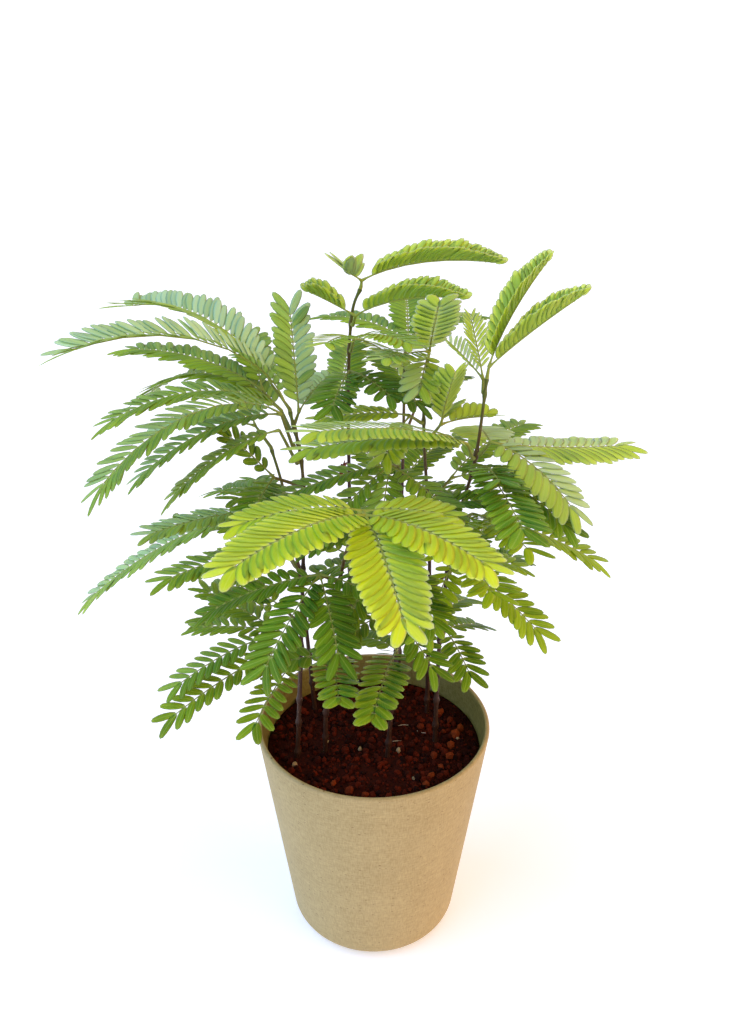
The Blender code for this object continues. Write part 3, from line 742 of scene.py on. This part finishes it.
lines = {name: stem_route(route, STEM_STEP) for name, (route, _) in SEEDLINGS.items()}
for name, (route, rows) in SEEDLINGS.items():
    bm = bmesh.new()
    bm.from_mesh(tubes([stem_line(route, rows)], resolution=4))
    top = route[-1][2] * MM
    tone = bm.faces.layers.float.new("tone")
    for face in bm.faces:
        face[tone] = max(0, 1 - (top - face.calc_center_median().z) / GREEN_TOP) * GREENEST
    put("stem_bark_" + name, bm, [bark], ["stem_" + name])
print("stems:", len(lines))

# %% [markdown]
# Two small dead things still hang on the back stem: a bud that died and went black, and a dry brown bract
# below it. Thin white threads of a harmless fungus lie on the bark between the stems.

# %% Dead bud, dry bract and white threads
DEAD_BITS = [("dead_bud", "#16130d", 286, (0.2, -2.6), (1.1, 0.9, 5)),
             ("dry_bract", "#7d3a1c", 252, (-3, -2.8), (1.5, 1, 4.5))]
THREADS = [[(13, 12), (15.5, 13.4), (18.5, 13.8)], [(23, 8), (25, 6.7), (27.5, 6.3)],
           [(10, -1), (12, 0.1), (14.5, 0.3)]]
THREAD_RADIUS = 0.2 * MM
THREAD_LIFT = 1.4 * MM
CRUMPLE = 0.9
CRUMPLE_SIZE = 1.6 * MM
LEAN = Euler((0.2, 0.12, 0.6)).to_matrix().to_4x4()

for name, colour, height, (x, y), size in DEAD_BITS:
    bm = bmesh.new()
    spot = point_on(lines["4"], height * MM) + Vector((x, y, 0)) * MM
    shaping = Matrix.Translation(spot) @ LEAN @ Matrix.Diagonal([n * MM for n in size] + [1])
    bmesh.ops.create_icosphere(bm, subdivisions=3, radius=1, matrix=shaping)
    for vert in bm.verts:
        vert.co += (vert.co - spot) * CRUMPLE * noise.noise(vert.co / CRUMPLE_SIZE)
    mat, _ = finish(name + "_skin", colour, 0.8, 1.45)
    put(name, bm, [mat])
bm = bmesh.new()
bm.from_mesh(tubes([[(Vector((x * MM, y * MM, SOIL_TOP + bed_height(x * MM, y * MM) + THREAD_LIFT)),
                      THREAD_RADIUS) for x, y in thread] for thread in THREADS], resolution=1))
white_fungus, _ = finish("white_fungus_thread", "#b0a290", 0.9, 1.4)
put("white_threads", bm, [white_fungus])
print("dead bits:", len(DEAD_BITS), "threads:", len(THREADS))

# %% [markdown]
# A leaflet is a thin oblong blade, widest past its middle, a little sickle-shaped, with a groove along its
# midrib. One is made from two grids that share their rim, and every other leaflet is a copy of it, moved,
# turned and scaled. It has only forty-eight faces, because there are thousands of leaflets.

# %% Leaflet
LEAFLET_THICK = 0.015
CUP = 0.015
DROOP = 0.1
SICKLE = 0.05
WIDEST_LATE = 1.08
BLUNT = 0.38
LEAFLET_STATIONS = 6
LEAFLET_COLUMNS = 4
LEAF_LAYERS = ("under", "tone", "ripe", "bloom")


def outline_width(t):
    """Half width of the blade at a share t of its length: a wedge at the base, round at the tip."""
    return abs(math.sin(math.pi * t ** WIDEST_LATE)) ** BLUNT / 2


def leaflet_grid(bm, under):
    """One face of a leaflet of unit length along +X and unit width, with its uv map."""
    made = bmesh.ops.create_grid(bm, x_segments=LEAFLET_STATIONS, y_segments=LEAFLET_COLUMNS, size=0.5)
    faces = list({face for vert in made["verts"] for face in vert.link_faces})
    uv = bm.loops.layers.uv["leaflet"]
    for face in faces:
        face[bm.faces.layers.float["under"]] = under
        for loop in face.loops:
            loop[uv].uv = (loop.vert.co.x + 0.5, loop.vert.co.y + 0.5)
    for vert in made["verts"]:
        t = 0.5 - 0.5 * math.cos(math.pi * (vert.co.x + 0.5))
        s = 2 * vert.co.y
        crown = CUP * math.sin(math.pi * abs(s))
        thick = LEAFLET_THICK * under * (1 - s * s) * math.sin(math.pi * t)
        vert.co.x = t
        vert.co.y = s * outline_width(t) + SICKLE * math.sin(math.pi * t)
        vert.co.z = crown * math.sin(math.pi * t) - DROOP * t * t - thick
    if under:
        bmesh.ops.reverse_faces(bm, faces=faces)


leaflet_bm = bmesh.new()
leaflet_bm.loops.layers.uv.new("leaflet")
for layer_name in LEAF_LAYERS:
    leaflet_bm.faces.layers.float.new(layer_name)
leaflet_grid(leaflet_bm, 0)
leaflet_grid(leaflet_bm, 1)
bmesh.ops.remove_doubles(leaflet_bm, verts=leaflet_bm.verts, dist=0.0005)
closed = all(side.is_manifold for side in leaflet_bm.edges)
leaflet_mesh = mesh_of("leaflet", leaflet_bm)
print("leaflet faces:", len(leaflet_mesh.polygons), "closed:", closed)

# %% [markdown]
# Leaves open yellow-green and turn deep green as they ripen, so one ramp of colours by ripeness serves them
# all. Some are painted with a pale bluish sheen on top, a painted reflection of the sky. The midrib and the
# swollen base are paler, and so is the underside. The blade is thin enough to let light through, which a
# little subsurface scattering gives.

# %% Leaf finishes
RIPENING = [(0, "#d6e61a"), (0.2, "#b0d01c"), (0.4, "#92b41a"), (0.6, "#6b9214"), (0.8, "#44780f"),
            (1, "#265405")]
# A pale bluish colour for the painted sheen, a painted reflection of the sky.
SKY_SHEEN_PAINT = "#c0e2b2"
MIDRIB = "#c6d772"
UNDERSIDE = "#8fae62"
PATCHINESS = 0.44
MIDRIB_TINT = 0.18
VEIN_TINT = 0.07
VEIN_GAP = 0.045
UNDERSIDE_TINT = 0.3
# Counts for each millimetre: patches are 20 mm wide, and the stalks' hairs, finer in life, 0.3 mm
PATCHES = 0.05
HAIRS = 3


def leaf_blade(name, gloss, glow):
    mat, shader = finish(name, "#5c8a16", gloss, 1.45)
    feed(mat, shader, "Specular IOR Level", 0.14)
    feed(mat, shader, "Subsurface Weight", glow)
    feed(mat, shader, "Subsurface Radius", (1, 0.9, 0.2))
    feed(mat, shader, "Subsurface Scale", 2 * MM)
    under, tone, ripe, bloom = (add(mat, "Attribute", {"attribute_name": key}).outputs["Fac"]
                                for key in LEAF_LAYERS)
    patch = add(mat, "TexNoise", {}, {"Vector": millimetres(mat), "Scale": PATCHES, "Detail": 3})
    patched = add(mat, "Math", {"operation": "MULTIPLY_ADD"}, {0: patch, 1: PATCHINESS, 2: ripe})
    aged = add(mat, "Math", {"operation": "SUBTRACT"}, {0: patched, 1: PATCHINESS / 2})
    ground = add(mat, "ValToRGB", {}, {"Fac": aged}, RIPENING)
    # Painted sheen: the pale bluish colour, a painted reflection of the sky, is mixed in on the leaves that
    # carry it.
    sheened = add(mat, "Mix", {"data_type": "RGBA"}, {"Factor": bloom, "A": ground, "B": linear(SKY_SHEEN_PAINT)})
    uv = add(mat, "SeparateXYZ", {}, {"Vector": add(mat, "UVMap", {"uv_map": "leaflet"})})
    aside = add(mat, "Math", {"operation": "SUBTRACT"}, {0: uv.outputs["Y"], 1: 0.5})
    off_rib = add(mat, "Math", {"operation": "ABSOLUTE"}, {0: aside})
    rib = add(mat, "MapRange", {}, {"Value": off_rib, "From Min": 0.02, "From Max": 0.08,
                                    "To Min": MIDRIB_TINT, "To Max": 0})
    base = add(mat, "MapRange", {}, {"Value": uv.outputs["X"], "From Min": 0.08, "From Max": 0.2,
                                     "To Min": 1, "To Max": 0})
    slanted = add(mat, "Math", {"operation": "MULTIPLY_ADD"}, {0: off_rib, 1: -0.5, 2: uv.outputs["X"]})
    waves = add(mat, "Math", {"operation": "PINGPONG"}, {0: slanted, 1: VEIN_GAP})
    veins = add(mat, "MapRange", {}, {"Value": waves, "From Min": 0, "From Max": VEIN_GAP,
                                      "To Min": VEIN_TINT, "To Max": 0})
    marks = add(mat, "Math", {"operation": "ADD"}, {0: veins, 1: rib})
    pale = add(mat, "Math", {"operation": "MAXIMUM", "use_clamp": True}, {0: marks, 1: base})
    veined = add(mat, "Mix", {"data_type": "RGBA"}, {"Factor": pale, "A": sheened, "B": linear(MIDRIB)})
    below = add(mat, "Math", {"operation": "MULTIPLY"}, {0: under, 1: UNDERSIDE_TINT})
    paint = add(mat, "Mix", {"data_type": "RGBA"}, {"Factor": below, "A": veined, "B": linear(UNDERSIDE)})
    value = add(mat, "Math", {"operation": "ADD"}, {0: tone, 1: 1})
    feed(mat, shader, "Base Color", add(mat, "HueSaturation", {}, {"Color": paint, "Value": value}))
    bump = add(mat, "Bump", {"invert": True}, {"Height": marks, "Strength": 0.5, "Distance": 0.12 * MM})
    feed(mat, shader, "Normal", bump)
    return mat


def leaf_stalk():
    """Stalks are green and finely downy when young, and turn brown as they age."""
    mat, shader = finish("leaf_stalk", "#7c8a34", 0.6, 1.45)
    ripe = add(mat, "Attribute", {"attribute_name": "ripe"}).outputs["Fac"]
    ground = add(mat, "ValToRGB", {}, {"Fac": ripe},
                 [(0, "#b4bd48"), (0.5, "#8b9140"), (0.85, "#71602e"), (1, "#523a1e")])
    hairs = add(mat, "TexNoise", {}, {"Vector": millimetres(mat), "Scale": HAIRS, "Detail": 2})
    down = add(mat, "ValToRGB", {}, {"Fac": hairs}, [(0.3, "#7a7468"), (0.7, "#ffffff")])
    paint = add(mat, "Mix", {"data_type": "RGBA", "blend_type": "MULTIPLY"},
                {"Factor": 0.35, "A": ground, "B": down})
    feed(mat, shader, "Base Color", paint)
    return mat


stalk_finish = leaf_stalk()
grown_blade = leaf_blade("leaf_blade_grown", 0.48, 0.2)
young_blade = leaf_blade("leaf_blade_young", 0.5, 0.5)
print("ripening steps:", len(RIPENING))

# %% [markdown]
# The CAD model bends some pinnae a few degrees so that they pass clear of others. A pinna's true place is
# found by trying the same bends, least first, until its rib ends in a corner of the CAD leaf. That is
# quicker and surer than working the clearances out again.

# %% Where each pinna has grown
STALK = 6
SHORT_PINNA_SHARE = 0.6
PINNA_GROWTH = 0.004
RIB_HALF_WIDTH = 0.5 * MM
SWINGS = sorted(
    ((swing, lift) for swing in range(-30, 31, 5) for lift in range(-25, 26, 5)),
    key=lambda move: (abs(move[0]) + abs(move[1]), move),
)
SHORTER = (1, 0.85, 0.7, 0.55)
CLOSE = 0.03 * MM


def leaflet_length(pinna, habit):
    return habit.longest * min(1, SHORT_PINNA_SHARE + PINNA_GROWTH * pinna.length)


def as_grown(fork, row, habit, corners):
    """The pinna as the CAD leaf has it."""
    planned = Pinna(*row)
    for share in SHORTER:
        for swing, lift in SWINGS:
            pinna = Pinna(planned.heading + swing, planned.rise + lift, planned.length * share, planned.droop)
            side = direction(pinna.heading + 90, 0)
            rib_end = rib_point(fork, pinna, pinna.length - leaflet_length(pinna, habit))
            if corners.find(rib_end + side * RIB_HALF_WIDTH)[2] < CLOSE:
                return pinna
    raise ValueError("the CAD leaf has no pinna like %s" % (row,))


def corners_of(node):
    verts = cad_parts[node].data.vertices
    tree = KDTree(len(verts))
    for vert in verts:
        tree.insert(vert.co, vert.index)
    tree.balance()
    return tree


print("bends to try:", len(SWINGS))

# %% [markdown]
# A leaf's habit says how it looks. Its longest leaflet, in millimetres, is the CAD leaf's. The rest is finer:
# the length of a drawn leaflet as a share of that, and of the last pair as a share of the others, how far the
# leaflets fold up in degrees, how ripe the leaf is and how much painted sheen, a painted reflection of the
# sky, it carries, the leaflets' pitch along the rib in millimetres and their width as a share of it, and how
# far they sweep forward in degrees. Opening leaves are folded up and hold their leaflets close together, new
# ones lie flat and overlap like shingles, and old ones low on the tree have leaflets that stand apart. A
# young pinna shorter than 26 mm has only begun to open, and is a fan.

# %% Habits of the leaves
Habit = namedtuple("Habit", "young longest share tip fold ripe bloom pitch width first_sweep last_sweep")
HABITS = {
    "opening": Habit(True, 17, 0.96, 0.42, 56, 0.2, 0.08, 2.5, 1.8, 42, 54),
    "fan": Habit(True, 17, 1.5, 1, 52, 0.3, 0.3, 2.5, 2.4, 46, 74),
    "feathery": Habit(True, 17, 0.72, 0.7, 40, 0.3, 0.4, 2.5, 0.72, 36, 48),
    "unfolding": Habit(True, 17, 0.9, 0.9, 36, 0.3, 0.05, 3, 1.45, 36, 48),
    "new": Habit(True, 19, 1.06, 0.76, 6, 0.17, 0.06, 3.4, 1.8, 22, 44),
    "lemon": Habit(True, 19, 0.78, 1.05, 4, 0.26, 0.26, 3.3, 1.5, 26, 44),
    "wide": Habit(True, 17, 1.22, 0.8, 2, 0.34, 0.36, 4, 1.4, 22, 38),
    "fresh": Habit(True, 17, 0.9, 1.05, 8, 0.36, 0.12, 3, 1.45, 28, 46),
    "golden": Habit(True, 17, 0.94, 1.05, 6, 0.4, 0.22, 3.2, 1.5, 28, 46),
    "bluish": Habit(False, 14, 1.12, 1.05, 26, 0.46, 0.42, 3.2, 1.2, 28, 46),
    "silvery": Habit(False, 14, 1.06, 1.05, 10, 0.52, 0.38, 3.2, 1.2, 28, 46),
    "mossy": Habit(False, 14, 1.06, 1.05, 10, 0.6, 0.18, 3.3, 1, 28, 46),
    "dusty": Habit(False, 13.5, 1.04, 1.05, 8, 0.52, 0.34, 3.4, 1.15, 28, 46),
    "olive": Habit(False, 13.5, 1.1, 1.1, 8, 0.52, 0.1, 3.2, 1.25, 28, 46),
    "grown": Habit(False, 13.5, 1.06, 1.1, 8, 0.64, 0.07, 3.5, 1.12, 26, 44),
    "loose": Habit(False, 13.5, 0.98, 1.1, 10, 0.72, 0.05, 4.3, 0.86, 26, 44),
    "deep": Habit(False, 13.5, 1.16, 1.1, 10, 0.82, 0, 3.9, 1.1, 24, 42),
    "tawny": Habit(False, 13.5, 1.16, 1.1, 10, 0.44, 0, 3.9, 1.1, 24, 42),
    "shaded": Habit(False, 13.5, 1.1, 0.8, 10, 0.88, 0, 3.9, 1.1, 24, 42),
    "bushy": Habit(False, 14, 1.1, 1.1, 8, 0.8, 0, 4.4, 1.25, 22, 42),
    "apart": Habit(False, 14, 0.98, 1.12, 10, 0.76, 0, 4.8, 0.9, 24, 42),
    "broad": Habit(False, 14, 0.98, 0.95, 8, 0.76, 0, 5, 1.35, 16, 48),
}
FAN_BELOW = 26
GROWN_AS = {
    "1": "new deep broad",
    "2": "opening feathery wide lemon bushy tawny tawny deep",
    "3": "bluish silvery olive mossy olive deep grown grown loose apart",
    "4": "opening opening fresh deep grown shaded",
    "5": "grown deep deep deep broad",
    "6": "golden fresh unfolding grown deep deep",
    "7": "grown shaded shaded shaded",
    "8": "bluish dusty deep deep",
}
print("leaves:", sum(len(habits.split()) for habits in GROWN_AS.values()))

# %% [markdown]
# Now the leaves are grown. A pinna's leaflets stand in pairs, short at its base and full a third of the way
# along, and both rows rise, as the two covers of an open book do. The row towards the back of the plant is
# painted with more sheen than the row in front of it, a painted reflection of the sky, and leaflets that
# point to the right are painted a little darker green than those that point left, a painted light and shade.
# Each leaflet strays a few degrees, less on a young leaf than on a grown one, and is rolled a little about
# its own length, so that neighbours overlap and don't cut through each other.

# %% Grow the leaves
END_SWEEP = 62
FIRST_LEAFLET = 0.6
FULL_LEAFLET_FROM = 0.3
TIP_FROM = 0.55
# Painted sheen on the back and front rows of leaflets, a painted reflection of the sky
BACK_ROW_SHEEN = 1.5
FRONT_ROW_SHEEN = 0.35
# Painted light and shade: leaflets that point right are painted darker green, those that point left yellower
SIDE_LIGHT_TINT = 0.08
YOUNG_STRAY = 2
GROWN_STRAY = 5
SHINGLE = 11
PETIOLE_RADIUS = 0.75 * MM
PETIOLE_TAPER = 0.08
RIB_RADIUS = 0.42 * MM
JOINT_RADIUS = 0.85 * MM
JOINT_REACH = 2.2
RIB_TAPER = 0.45
RIB_SHARES = (0, 0.02, 0.05, 0.1, 0.2, 0.35, 0.5, 0.65, 0.8, 0.92, 1)
BASE_SWELL = 1.35
FEWEST_PAIRS = 4
LENGTH_SPREAD = (0.94, 1.04)
TONE_SPREAD = (-0.12, 0.1)
RIPE_SPREAD = (-0.06, 0.06)
SHEEN_SPREAD = (0.75, 1.2)


def rib_line(fork, pinna, habit):
    """The rib's points and radii, with the swollen joint that turns the pinna at its base."""
    end = pinna.length - leaflet_length(pinna, habit)
    line = []
    for share in RIB_SHARES:
        joint = math.exp(-(share * end / JOINT_REACH) ** 2)
        line.append((rib_point(fork, pinna, share * end),
                     RIB_RADIUS * (1 - RIB_TAPER * share) + (JOINT_RADIUS - RIB_RADIUS) * joint))
    return line


def petiole_line(points):
    return [(point, PETIOLE_RADIUS * (1 - PETIOLE_TAPER * i) * (BASE_SWELL if i < 2 else 1))
            for i, point in enumerate(points)]


def add_stalks(bm, lines, ripe):
    """Add round stalks to a leaf, all of one ripeness."""
    before = len(bm.faces)
    bm.from_mesh(tubes(lines, resolution=1))
    bm.faces.ensure_lookup_table()
    for face in bm.faces[before:]:
        face.material_index = 0
        face[bm.faces.layers.float["ripe"]] = ripe


def add_leaflets(bm, pattern, fork, pinna, habit):
    """Copy the pattern leaflet in pairs along one pinna."""
    longest = leaflet_length(pinna, habit)
    rib_end = pinna.length - longest
    pairs = max(FEWEST_PAIRS, round((rib_end - STALK) / habit.pitch) + 1)
    side = direction(pinna.heading + 90, 0)
    stray = YOUNG_STRAY if habit.young else GROWN_STRAY
    for i in range(pairs):
        share = i / (pairs - 1)
        last = i == pairs - 1
        reach = STALK + (rib_end - STALK) * share
        root = rib_point(fork, pinna, reach)
        along = rib_direction(pinna, reach / pinna.length)
        normal = along.cross(side)
        grown = FIRST_LEAFLET + (1 - FIRST_LEAFLET) * min(1, share / FULL_LEAFLET_FROM)
        grown *= 1 + (habit.tip - 1) * max(0, share - TIP_FROM) / (1 - TIP_FROM)
        for sign in (1, -1):
            fold = math.radians(habit.fold + chance.uniform(-stray, stray))
            sweep = habit.first_sweep + (habit.last_sweep - habit.first_sweep) * share
            sweep = math.radians((END_SWEEP if last else sweep) + chance.uniform(-stray, stray))
            out = side * sign * math.cos(fold) + normal * math.sin(fold)
            aim = out * math.cos(sweep) + along * math.sin(sweep)
            up = (along.cross(aim) * sign).normalized()
            forward = (along - aim * along.dot(aim)).normalized()
            roll = math.radians(chance.uniform(-stray, stray) + SHINGLE)
            up, forward = (up * math.cos(roll) - forward * math.sin(roll),
                           forward * math.cos(roll) + up * math.sin(roll))
            length = longest * habit.share * grown * chance.uniform(*LENGTH_SPREAD) * MM
            width = habit.pitch * habit.width * (0.7 + 0.3 * grown) * MM
            copied = bmesh.ops.duplicate(bm, geom=pattern)["geom"]
            verts = [item for item in copied if isinstance(item, bmesh.types.BMVert)]
            faces = [item for item in copied if isinstance(item, bmesh.types.BMFace)]
            turn = Matrix((aim * length, forward * width, up * length)).transposed().to_4x4()
            bmesh.ops.transform(bm, matrix=Matrix.Translation(root) @ turn, verts=verts)
            if turn.determinant() < 0:
                bmesh.ops.reverse_faces(bm, faces=faces)
            # Painted sheen: the row facing the back is painted with more of the sky's reflection than the row
            # in front.
            row_sheen = BACK_ROW_SHEEN if out.y > 0 else FRONT_ROW_SHEEN
            # Painted light and shade: the ripeness goes up for leaflets pointing right and down for those
            # pointing left.
            look = {"tone": chance.uniform(*TONE_SPREAD),
                    "ripe": habit.ripe + SIDE_LIGHT_TINT * out.x + chance.uniform(*RIPE_SPREAD),
                    "bloom": habit.bloom * chance.uniform(*SHEEN_SPREAD) * row_sheen}
            for face in faces:
                face.material_index = 1
                for key, value in look.items():
                    face[bm.faces.layers.float[key]] = value
    return 2 * pairs


count = 0
for name, (_, rows) in SEEDLINGS.items():
    for place, ((height, steps), kind) in enumerate(zip(rows, GROWN_AS[name].split()), 1):
        node = "leaf_%s_%d" % (name, place)
        habit = HABITS[kind]
        corners = corners_of(node)
        points = petiole_points(lines[name], height, steps)
        pinnae = [(fork, as_grown(fork, row, habit, corners))
                  for fork, (_, planned) in zip(points[2:], steps) for row in planned]
        bm = bmesh.new()
        bm.from_mesh(leaflet_mesh)
        pattern = bm.verts[:] + bm.edges[:] + bm.faces[:]
        add_stalks(bm, [petiole_line(points)], habit.ripe)
        add_stalks(bm, [rib_line(fork, pinna, habit) for fork, pinna in pinnae], habit.ripe / 2)
        for fork, pinna in pinnae:
            fan = habit.young and pinna.length < FAN_BELOW
            count += add_leaflets(bm, pattern, fork, pinna, HABITS["fan"] if fan else habit)
        bmesh.ops.delete(bm, geom=pattern, context="VERTS")
        blade, slot = (young_blade, "leaf_young") if habit.young else (grown_blade, "leaf")
        put("frond_%s_%d" % (name, place), bm, [stalk_finish, blade], [node])
print("leaflets:", count)
